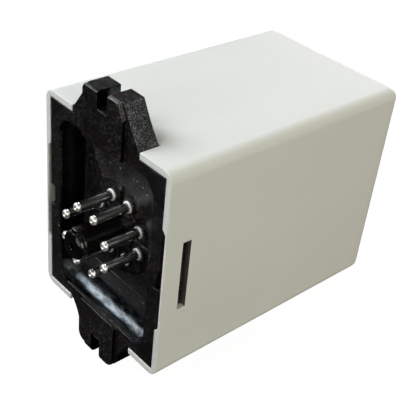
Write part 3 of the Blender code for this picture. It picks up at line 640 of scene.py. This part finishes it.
def print_ink(name, colour):
    n = Nodes(name)
    patch = n.ramp(n.noise(1500, detail=2), 0.3, 0.7, 0.0, 1.0)
    lighter = tuple(min(1.0, part * 1.25 + 0.004) for part in colour)
    return n.set(base_color=n.mix(patch, colour, lighter), roughness=0.5)


# ---------------------------------------------------------------- cover

def make_cover():
    cover = block("cover_shell", (COVER_LOW.x, COVER_HIGH.x), (COVER_LOW.y, COVER_HIGH.y),
                  (COVER_LOW.z, COVER_HIGH.z), EDGE_RADIUS, segments=12,
                  keep_sharp=lambda at: at.y < COVER_LOW.y + 0.01)
    half, depth_x, depth_y = RELIEF
    relief = [(INNER_X - 1, half + 1), (INNER_X, half), (INNER_X + depth_x, half - depth_x)]
    relief = [(x, -z) for x, z in relief] + list(reversed(relief))
    cut(cover,
        block("cavity", (-INNER_X, INNER_X), (-2, COVER_HIGH.y - FRONT_WALL), (-INNER_Z, INNER_Z)),
        block("ear_notches", (-EAR_NOTCH[0], EAR_NOTCH[0]), (-2, EAR_NOTCH[1]), (-99, 99)),
        prism("relief_right", relief, -2, depth_y),
        prism("relief_left", [(-x, z) for x, z in relief], -2, depth_y),
        block("latch_windows", (-99, 99), WINDOW_Y, (-WINDOW_HALF, WINDOW_HALF)))
    cut_front_openings(cover)
    soften(cover, 0.22)
    finish_piece(cover, CASE, "pale_plastic", pale_moulding(), shaded_moulding(),
                 stands_for=["case_cover"])
    for face in cover.data.polygons:
        at = (face.center - ZERO) / MM
        in_window = WINDOW_Y[0] - 0.1 < at.y < WINDOW_Y[1] + 0.1 and abs(at.x) > INNER_X + 0.25
        face.material_index = 1 if in_window and face.normal.y < -0.5 else 0


def cut_front_openings(cover):
    front = COVER_HIGH.y
    label_low, label_high = box("front_label")
    cut(cover, block("label_recess", (label_low.x - GAP, label_high.x + GAP),
                     (front - LABEL_RECESS, front + 1), (label_low.z - GAP, label_high.z + GAP)))
    for node, radius in (("adjuster_shaft", 3.7), ("light_pipe_power", 1.8), ("light_pipe_relay", 1.8)):
        low, high = box(node)
        x, z = (low.x + high.x) / 2, (low.z + high.z) / 2
        if node == "adjuster_shaft":
            z = high.z - (high.x - low.x) / 2
        cut(cover, rod(node + "_hole", (x, front - 4, z), (x, front + 2, z), radius))


# ---------------------------------------------------------------- plug base

def pin_angles():
    """Degrees from +X, one for each pin, clockwise from the key seen from the pin side."""
    step = 360 / PIN_COUNT
    return [90 - step / 2 - step * index for index in range(PIN_COUNT)]


def around(angle, radius):
    """The x and z of a point on a circle about the pin circle's centre."""
    return radius * math.cos(math.radians(angle)), radius * math.sin(math.radians(angle))


def make_base():
    half_x, half_z = INNER_X - GAP, INNER_Z - GAP
    base = block("base_moulding", (-half_x, half_x), (RIM, BASE_BACK), (-half_z, half_z))
    add_ears(base)
    join(base, block("latches", (BASE_LOW.x, BASE_HIGH.x), (WINDOW_Y[0] + GAP, WINDOW_Y[1] - GAP),
                     (GAP + 0.2 - WINDOW_HALF, WINDOW_HALF - GAP - 0.2)))
    cut(base, block("pocket", (-POCKET_X, POCKET_X), (-9, FLOOR), POCKET_Z, POCKET_RADIUS,
                    segments=14))
    slot = (-EAR_SLOT_HALF, EAR_SLOT_HALF)
    cut(base, block("top_slot", slot, (-3, 9), (TOP_SLOT_FLOOR, 45)),
        block("bottom_slot", slot, (-3, 9), (-45, BOTTOM_SLOT_FLOOR)))
    notch_x, notch_half, notch_depth = PRY_NOTCH
    for side in (-1, 1):
        span = sorted((side * notch_x, side * (half_x + 1)))
        cut(base, block("pry_notch", span, (-2, RIM + notch_depth), (-notch_half, notch_half)))
    cut_pin_ring(base)
    add_board_rails(base)
    cut(base, block("mould_line", (-19.0, 19.0), (FLOOR - 1, FLOOR + 0.12), (-15.75, -15.45)))
    weld(base)
    even_shading(base)
    paint_base(base)
    finish_piece(base, CASE, "black_plastic", stands_for=["plug_base"])
    make_spigot()


def add_ears(base):
    """Each ear is a wide root behind a narrower raised plate. The upper plate has a long chamfer on
    its right and a short one on its left, and the lower lugs swell behind the plate."""
    top, bottom = BASE_HIGH.z, BASE_LOW.z
    corner_z = bottom + EAR_CORNER
    top_root = [(EAR_ROOT_HALF, 20.0), (EAR_ROOT_HALF, 29.7), (9.4, 34.5), (6.6, top)]
    top_plate = [(PLATE_HALF, 20.0), (PLATE_HALF, 35.4), (5.5, top), (-5.7, top), (-6.9, top - 0.7),
                 (-PLATE_HALF, top - 1.9), (-PLATE_HALF, 20.0)]
    flank = [(EAR_ROOT_HALF, -20.0), (EAR_ROOT_HALF, -28.0), (11.7, -29.2), (10.4, -31.0),
             (9.6, -32.5), (9.1, -33.8)]
    flank += arc((PLATE_HALF + 0.7 - EAR_CORNER, corner_z), EAR_CORNER, 0, -90, 8)
    bottom_plate = arc((PLATE_HALF - 2.0, POCKET_Z[0] - 1.6), 2.0, 90, 0, 5)
    bottom_plate[0] = (PLATE_HALF - 2.0, POCKET_Z[0] + 0.6)
    bottom_plate += arc((PLATE_HALF - EAR_CORNER, corner_z), EAR_CORNER, 0, -90, 8)
    join(base,
         prism("top_root", mirrored(top_root), RIM, EAR_BACK),
         prism("top_plate", top_plate, PLATE_FACE, RIM + 1),
         prism("bottom_root", mirrored(flank), RIM, EAR_BACK),
         prism("bottom_plate", mirrored(bottom_plate), PLATE_FACE, RIM + 1))
    for side in (-1, 1):
        span = sorted((side * EAR_SLOT_HALF, side * 6.2))
        join(base, block("foot", span, (PLATE_FACE + 0.1, 4.8), (bottom - FOOT_DROP, bottom + 2), 1.5, 6,
                         keep_sharp=lambda at: abs(at.x) < EAR_SLOT_HALF + 0.1))
    for x, drop in (((-9, 0), LEFT_LUG_DROP), ((0, 9), 0)):
        lean = wedge(x, (PLATE_FACE - 0.1, top - drop - 0.5), (PLATE_FACE + 1.0, top - drop + 0.1))
        cut(base, mesh_from("lug_front", lean))
    cut(base, block("left_lug_top", (-9, 0), (-3, 9), (top - LEFT_LUG_DROP, top + 2)))


def add_board_rails(base):
    """Pairs of lugs behind the base that hold the two upright boards by their lower corners."""
    for board in ("main_board", "power_board"):
        low, high = box(board)
        outer_low, outer_high = low.x - GAP - RAIL[0], high.x + GAP
        for x in (outer_low, outer_high):
            for z in ((RAIL[1], RAIL[2]), (-RAIL[2], -RAIL[1])):
                join(base, block("rail", (x, x + RAIL[0]), (BASE_BACK - 1, BASE_HIGH.y), z))


def cut_pin_ring(base):
    """Sinks a ring round the spigot with a rib left between pins, and adds the small features that
    stand in it: a deep slot above the spigot, a raised bar beside it, and a row of teeth."""
    inner, outer, depth = RING
    start = FLOOR - 1
    ring = rod("ring", (0, start, 0), (0, FLOOR + depth, 0), outer, sides=96)
    cut(ring, rod("hub", (0, start - 1, 0), (0, FLOOR + 2, 0), inner, sides=64))
    for index, angle in enumerate(pin_angles()):
        x, z = around(angle, PIN_CIRCLE)
        rib = radial_bar(angle - 180 / PIN_COUNT, inner - 1, outer - 0.5, RING_RIB)
        cut(ring, prism(f"rib_{index}", rib, start - 1, FLOOR + 2),
            rod(f"pad_{index}", (x, start - 1, z), (x, FLOOR + 2, z), 2.2, sides=32))
    cut(base, ring)
    for angle in pin_angles():
        x, z = around(angle, PIN_CIRCLE)
        cut(base, rod("hole", (x, FLOOR - 1, z), (x, BASE_BACK + 1, z), 1.25, sides=24))
    cut(base, prism("deep_slot", radial_bar(90, 6.6, 11.2, 2.0), start, FLOOR + 1.6))
    join(base, prism("raised_bar", radial_bar(45, 4.2, 10.0, 1.7), FLOOR - 1.1, FLOOR + 1))
    for step in range(4):
        tooth = radial_bar(14 + 4 * step, 10.3, 11.1, 0.3)
        join(base, prism("tooth", tooth, FLOOR - 0.35, FLOOR + 1))


def paint_base(base):
    """The open floor is grained and dusty, the pocket's rounded walls are glossy, and the slanted
    sides of the ears carry a coarse texture with pale bluish flecks that are painted glints. The
    pocket's left wall and the sunk ring's lower half are made dull and black in place of deep shade."""
    materials = base.data.materials
    materials.clear()
    brown, painted_glint_grey = (0.078, 0.070, 0.069), (0.26, 0.28, 0.33)
    for material in (
            black_moulding("black_smooth", (0.0036, 0.0030, 0.0030), (0.50, 0.012), 0.36, (0.6, brown, 0.64)),
            black_moulding("black_floor", (0.0026, 0.0023, 0.0023), (0.42, 0.045), 0.50, (1.15, brown, 0.47)),
            # Painted glints: pale bluish flecks on the ears' slanted sides.
            black_moulding("black_flank", (0.0045, 0.0048, 0.0058), (0.30, 0.090), 0.40, (0.65, painted_glint_grey, 0.60)),
            pocket_wall(),
            # Painted shade: a blacker, duller copy of the plastic for the pocket's left wall.
            black_moulding("black_painted_shade", (0.0006, 0.0006, 0.0008), (0.45, 0.004), 0.34, edge=0.0,
                           gloss=0.01, shine=0.08),
            black_moulding("black_ring", (0.0026, 0.0023, 0.0023), (0.42, 0.045), 0.45,
                           (0.8, brown, 0.64), shine=0.4, dark_below=0)):
        materials.append(material)
    smooth_rim, floor, flank, wall, recess, ring = range(6)
    for face in base.data.polygons:
        at = (face.center - ZERO) / MM
        ring_place = math.hypot(at.x, at.z)
        in_pocket = abs(at.x) < POCKET_X and POCKET_Z[0] < at.z < POCKET_Z[1]
        if face.normal.y < -0.95 and abs(at.y - FLOOR) < 0.05 and ring_place > RING[1] - 0.1:
            face.material_index = floor
        elif FLOOR + 0.2 < at.y < BASE_BACK - 0.2 and ring_place < RING[1] + 0.1:
            face.material_index = ring
        elif in_pocket and RIM + 0.15 < at.y < FLOOR - 0.02 and ring_place > RING[1] + 2:
            in_shade = at.x < 5 - POCKET_X and at.z > -19 and face.normal.x > 0.2
            face.material_index = recess if in_shade else wall
        elif at.z > 28 and 0.4 < abs(face.normal.x) < 0.97 and abs(at.x) > 5.4:
            face.material_index = flank
        elif abs(at.z) > 20 and abs(face.normal.x) > 0.95:
            face.material_index = wall
        else:
            face.material_index = smooth_rim


def make_spigot():
    """The locating spigot: a chamfered end with a groove behind it, a sprue hole and the key."""
    end = BASE_LOW.y
    length = FLOOR - end
    radius = SPIGOT_RADIUS
    profile = [(0, length - 3.0), (0.95, length - 3.0), (0.95, length - 0.1), (1.05, length),
               (radius - 0.75, length), (radius - 0.6, length - 0.05), (radius - 0.08, length - 0.6),
               (radius, length - 0.75), (radius, length - 1.5), (radius - 0.12, length - 1.62),
               (radius - 0.12, length - 1.95), (radius, length - 2.07), (radius, 0.35),
               (radius + 0.3, -0.2), (0, -0.2)]
    spigot = turned("base_spigot", profile, (0, FLOOR, 0), (0, -1, 0), sides=80)
    join(spigot, block("key", (-1.0, 1.0), (end + 0.6, FLOOR + 0.1), (radius - 1.5, radius + 1.0),
                       radius=0.3))
    smooth(spigot, 30)
    finish_piece(spigot, CASE, "black_plastic",
                 black_moulding("black_spigot", (0.0012, 0.0010, 0.0012), (0.6, 0.045), 0.17))


# ---------------------------------------------------------------- pins

def make_pins():
    finishes = (nickel_plate(), bright_metal("solder", 0.34, 0.06, 0.80),
                bright_metal("collar", 0.45, 0.01, 0.15, dull=0.85))
    for name in PIN_NAMES:
        low, high = box(name)
        x, z = (low.x + high.x) / 2, (low.z + high.z) / 2
        profile = pin_profile(high.y - low.y, high.y - FLOOR + 0.02)
        pin = turned(name + "_shell", profile, (x, high.y, z), (0, -1, 0), sides=40)
        smooth(pin, 40)
        finish_piece(pin, CASE, "plated_brass", *finishes, stands_for=[name])
        for face in pin.data.polygons:
            at = (face.center - ZERO) / MM
            off_axis = math.hypot(at.x - x, at.z - z)
            if at.y - low.y < 0.85:
                face.material_index = 1
            elif off_axis > PIN_RADIUS + 0.05 and at.y < FLOOR:
                face.material_index = 2


def pin_profile(length, collar):
    """A rolled tube with a soldered, dimpled tip and a flange where it enters the base."""
    radius = PIN_RADIUS
    tip = [(0, length - 0.34), (0.28, length - 0.30), (0.42, length - 0.08), (0.55, length - 0.01)]
    shoulder = arc((radius - 0.75, length - 0.75), 0.75, 78, 0, 8)
    groove = [(radius, length - 0.95), (radius - 0.07, length - 1.02), (radius, length - 1.1)]
    stem = [(radius, collar + 0.55), (radius + 0.1, collar + 0.50)]
    flange = [(COLLAR_RADIUS - 0.1, collar + 0.48), (COLLAR_RADIUS, collar + 0.36),
              (COLLAR_RADIUS, collar + 0.1), (COLLAR_RADIUS - 0.1, collar)]
    tail = [(0.95, collar), (0.95, 0.05), (0.9, 0), (0, 0)]
    return tip + shoulder + groove + stem + flange + tail


# ---------------------------------------------------------------- front face

DIAL_ANGLES = (-140, 140)           # degrees clockwise from straight up, seen from the front
DIAL_NUMBERS = 11
KNOB_FLUTES = 24


def dial_point(angle, radius):
    """A point of the dial, where the viewer in front of it has +X to the left."""
    turn = math.radians(angle)
    return -radius * math.sin(turn), KNOB_Z + radius * math.cos(turn)


def knob_centre():
    low, high = box("adjuster_knob")
    return (low.z + high.z) / 2


KNOB_Z = knob_centre()


def make_knob():
    """A fluted skirt under a dished cap, with a white pointer line."""
    low, high = box("adjuster_knob")
    radius = (high.x - low.x) / 2
    top = high.y - low.y
    shaft = box("adjuster_shaft")[1].y - low.y

    def flutes(angle, r, height):
        if r < radius - 1.7 or not 2.4 < height < top - 0.9:
            return r
        return r - 0.22 * (1 - abs(math.sin(angle * KNOB_FLUTES / 2))) ** 0.6

    grip = [(radius - 0.75 - 0.03 * (top - 0.9 - h), h) for h in (top - 1.0, top - 1.3, 6.0, 2.9, 2.6)]
    profile = [(0, top - 0.35), (radius - 2.3, top - 0.35), (radius - 2.0, top - 0.1),
               (radius - 1.8, top), (radius - 1.3, top - 0.1), (radius - 0.95, top - 0.45),
               (radius - 0.8, top - 0.85)] + grip + \
              [(radius - 0.6, 2.3), (radius - 0.15, 2.1), (radius, 1.9), (radius, 0.15),
               (radius - 0.15, 0), (3.3, 0), (3.3, shaft + 0.3), (0, shaft + 0.3)]
    knob = turned("knob_grip", profile, (0, low.y, KNOB_Z), (0, 1, 0), sides=192, wobble=flutes)
    smooth(knob, 35)
    finish_piece(knob, "knob", "black_plastic",
                 black_moulding("black_knob", (0.0100, 0.0098, 0.0100), (0.5, 0.012), 0.36),
                 stands_for=["adjuster_knob"])
    line = block("knob_pointer", (-0.45, 0.45), (high.y - 0.45, high.y - 0.25),
                 (KNOB_Z + 2.0, KNOB_Z + radius - 2.5), radius=0.08)
    skirt = block("skirt_mark", (-0.4, 0.4), (low.y + 0.8, low.y + 2.0),
                  (KNOB_Z + radius - 0.7, KNOB_Z + radius + 0.03), radius=0.02)
    join(line, skirt)
    finish_piece(line, "knob", "label_film", print_ink("white_ink", (0.75, 0.75, 0.73)))


def make_dial():
    """Ticks and plain numbers round the knob, raised a little as print on the label."""
    face = box("front_label")[1].y
    bars = bmesh.new()
    steps = (DIAL_NUMBERS - 1) * 5
    for step in range(steps + 1):
        angle = DIAL_ANGLES[0] + (DIAL_ANGLES[1] - DIAL_ANGLES[0]) * step / steps
        major = step % 5 == 0
        size = (0.32, 0.04, 1.7) if major else (0.18, 0.04, 0.9)
        x, z = dial_point(angle, 10.4 + size[2] / 2)
        turn = Matrix.Rotation(-math.radians(angle), 4, "Y")
        matrix = Matrix.Translation((x, face + size[1] / 2, z)) @ turn @ Matrix.Diagonal((*size, 1))
        bmesh.ops.create_cube(bars, size=1.0, matrix=matrix)
    finish_piece(mesh_from("dial_ticks", bars), CASE, "label_film",
                 print_ink("black_ink", (0.010, 0.010, 0.011)))
    ink = print_ink("number_ink", (0.012, 0.012, 0.013))
    for number in range(DIAL_NUMBERS):
        angle = DIAL_ANGLES[0] + (DIAL_ANGLES[1] - DIAL_ANGLES[0]) * number / (DIAL_NUMBERS - 1)
        x, z = dial_point(angle, 14.2)
        figure = raised_text(f"dial_number_{number}", str(number), (x, face, z), 2.7)
        finish_piece(figure, CASE, "label_film", ink)


def raised_text(name, text, at, size):
    """Text that reads from the front, as a mesh."""
    curve = bpy.data.curves.new(name, "FONT")
    curve.body = text
    curve.size = size * MM
    curve.extrude = 0.02 * MM
    curve.align_x = "CENTER"
    curve.align_y = "CENTER"
    writing = bpy.data.objects.new(name + "_curve", curve)
    bpy.context.scene.collection.objects.link(writing)
    bpy.context.view_layer.update()
    mesh = bpy.data.meshes.new_from_object(writing.evaluated_get(bpy.context.evaluated_depsgraph_get()))
    bpy.data.objects.remove(writing, do_unlink=True)
    facing = Matrix(((-1, 0, 0), (0, 0, 1), (0, 1, 0))).to_4x4()
    mesh.transform(Matrix.Translation(spot(at) + Vector((0, 0.02 * MM, 0))) @ facing)
    obj = bpy.data.objects.new(name, mesh)
    bpy.context.scene.collection.objects.link(obj)
    return obj


# ---------------------------------------------------------------- CAD pieces that stay

def bevelled(node, width, segments=2):
    """Rounds a carried-over node's edges with a modifier, which leaves its mesh as it is."""
    obj = frame["nodes"][node]
    modifier = obj.modifiers.new("soft_edges", "BEVEL")
    modifier.width = width * MM
    modifier.segments = segments
    modifier.limit_method = "ANGLE"
    modifier.angle_limit = math.radians(40)


def dress_inside():
    """Finishes each CAD node that is still shown, by its material slot or its own name."""
    green = circuit_board()
    dark = dark_resin()
    winding = copper_winding()
    tan = soft_plastic("tan_coating", (0.60, 0.36, 0.14), (0.48, 0.27, 0.10), 0.34)
    bands = resistor_body()
    by_slot = {
        "green_board": green,
        "clear_plastic": clear_cover(),
        "dark_resin": dark,
        "copper_wire": winding,
        "iron": iron_sheet(),
        "spring_bronze": strip_metal("spring_bronze", (0.72, 0.43, 0.20), (0.36, 0.20, 0.09)),
        "tinned_strip": strip_metal("tinned_strip", (0.78, 0.76, 0.70), (0.50, 0.46, 0.38)),
        "cream_plastic": soft_plastic("cream_nylon", (0.76, 0.70, 0.54), (0.66, 0.60, 0.44), 0.45, 0.12),
        "red_sleeve": soft_plastic("red_sleeve", (0.50, 0.020, 0.015), (0.36, 0.015, 0.012)),
        "blue_sleeve": soft_plastic("blue_sleeve", (0.025, 0.09, 0.42), (0.018, 0.06, 0.28)),
        "tan_resin": tan,
        "green_lens": lens("green_lens", (0.10, 0.70, 0.16), (0.05, 0.45, 0.10)),
        "amber_lens": lens("amber_lens", (0.90, 0.42, 0.03), (0.70, 0.26, 0.02)),
        "label_film": printed_label(),
    }
    by_node = {"transformer_core": core_laminations(), "dropping_resistor_1": bands,
               "dropping_resistor_2": bands}
    sharp = ("clear_plastic", "green_board", "label_film", "red_sleeve", "copper_wire")
    for part in frame["record"]["subparts"]:
        node, slot = part["node"], part["material_slot"]
        obj = frame["nodes"][node]
        if obj.hide_render:
            continue
        obj.data.materials.clear()
        obj.data.materials.append(by_node.get(node) or by_slot[slot])
        if slot not in sharp and not node.startswith("lead_wire"):
            bevelled(node, 0.12)


# ---------------------------------------------------------------- stage

VIEW_AZIMUTH = 44.65
VIEW_ELEVATION = 33.93
VIEW_ROLL = 6.72
VIEW_DISTANCE = 207.86
VIEW_OFFSET = (26.48, 6.51)         # millimetres to the right and up
VIEW_LENS = 72.65
WHITE_SHARE = 0.95


def make_camera():
    """The camera is placed by its direction, its roll and how far it stands off the pins."""
    az, el, roll = (math.radians(angle) for angle in (VIEW_AZIMUTH, VIEW_ELEVATION, VIEW_ROLL))
    back = Vector((math.sin(az) * math.cos(el), -math.cos(az) * math.cos(el), math.sin(el)))
    level = Vector((0, 0, 1)).cross(back).normalized()
    upright = back.cross(level)
    right = level * math.cos(roll) + upright * math.sin(roll)
    up = upright * math.cos(roll) - level * math.sin(roll)
    where = spot(right * VIEW_OFFSET[0] + up * VIEW_OFFSET[1] + back * VIEW_DISTANCE)
    camera = bpy.data.objects.new("camera", bpy.data.cameras.new("camera"))
    camera.data.lens = VIEW_LENS
    camera.data.sensor_width = 36.0
    camera.data.clip_start = 0.01
    axes = Matrix((right, up, back)).transposed().to_4x4()
    camera.matrix_world = Matrix.Translation(where) @ axes
    bpy.context.scene.collection.objects.link(camera)
    bpy.context.scene.camera = camera


def make_floor():
    """A pale floor. The camera sees it nearly white, while the object is lit by a darker one."""
    under = BASE_LOW.z - FOOT_DROP - 0.2
    floor = block("floor", (-1500, 1500), (-1500, 1500), (under - 5, under))
    n = Nodes("pale_floor")
    seen = n.add("ShaderNodeLightPath").outputs["Is Camera Ray"]
    n.set(base_color=n.mix(seen, (0.016, 0.016, 0.017), (0.12, 0.12, 0.12)), roughness=1.0,
          specular_ior_level=0.0, emission_color=(1, 1, 1),
          emission_strength=n.math("MULTIPLY", seen, WHITE_SHARE))
    floor.data.materials.append(n.material)


def area_light(name, direction, distance, size, brightness, colour=(1, 1, 1)):
    """A square softbox that faces the object from the given direction. Brightness is its radiance."""
    data = bpy.data.lights.new(name, "AREA")
    data.energy = brightness * math.pi * size * size
    data.size = size
    data.color = colour
    light = bpy.data.objects.new(name, data)
    direction = Vector(direction).normalized()
    light.location = spot((0, 35, 0)) + direction * distance
    light.rotation_mode = "QUATERNION"
    light.rotation_quaternion = direction.to_track_quat("Z", "Y")
    bpy.context.scene.collection.objects.link(light)


def make_lights():
    area_light("window_light", (-0.61, -0.41, 0.68), 0.75, 0.42, 11.8, (0.90, 0.95, 1.0))
    area_light("top_light", (0.15, 0.3, 1.0), 1.0, 1.1, 0.14, (1.0, 0.96, 0.90))
    area_light("front_light", (0.20, -0.90, 0.36), 1.2, 0.8, 2.2, (1.0, 0.98, 0.95))
    area_light("right_light", (0.92, -0.15, 0.32), 1.2, 0.7, 5.75, (1.0, 0.985, 0.84))
    area_light("back_light", (-0.35, 0.93, -0.02), 1.2, 0.9, 4.6)
    area_light("left_light", (-0.95, 0.25, 0.05), 1.2, 0.8, 1.2)
    world = bpy.data.worlds.new("studio")
    bpy.context.scene.world = world
    world.use_nodes = True
    nodes, links = world.node_tree.nodes, world.node_tree.links
    coords = nodes.new("ShaderNodeTexCoord")
    split = nodes.new("ShaderNodeSeparateXYZ")
    ramp = nodes.new("ShaderNodeMapRange")
    for key, number in (("From Min", -0.1), ("From Max", 1.0), ("To Min", 0.015), ("To Max", 0.09)):
        ramp.inputs[key].default_value = number
    links.new(coords.outputs["Generated"], split.inputs["Vector"])
    links.new(split.outputs["Z"], ramp.inputs["Value"])
    seen = nodes.new("ShaderNodeLightPath")
    behind = nodes.new("ShaderNodeMath")
    behind.operation = "MAXIMUM"
    links.new(seen.outputs["Is Camera Ray"], behind.inputs[0])
    links.new(ramp.outputs["Result"], behind.inputs[1])
    links.new(behind.outputs["Value"], nodes["Background"].inputs["Strength"])
    nodes["Background"].inputs["Color"].default_value = (1.0, 1.0, 1.0, 1.0)
    bpy.context.scene.view_settings.view_transform = "Standard"


make_cover()
make_base()
make_pins()
make_knob()
make_dial()
dress_inside()
make_camera()
make_floor()
make_lights()
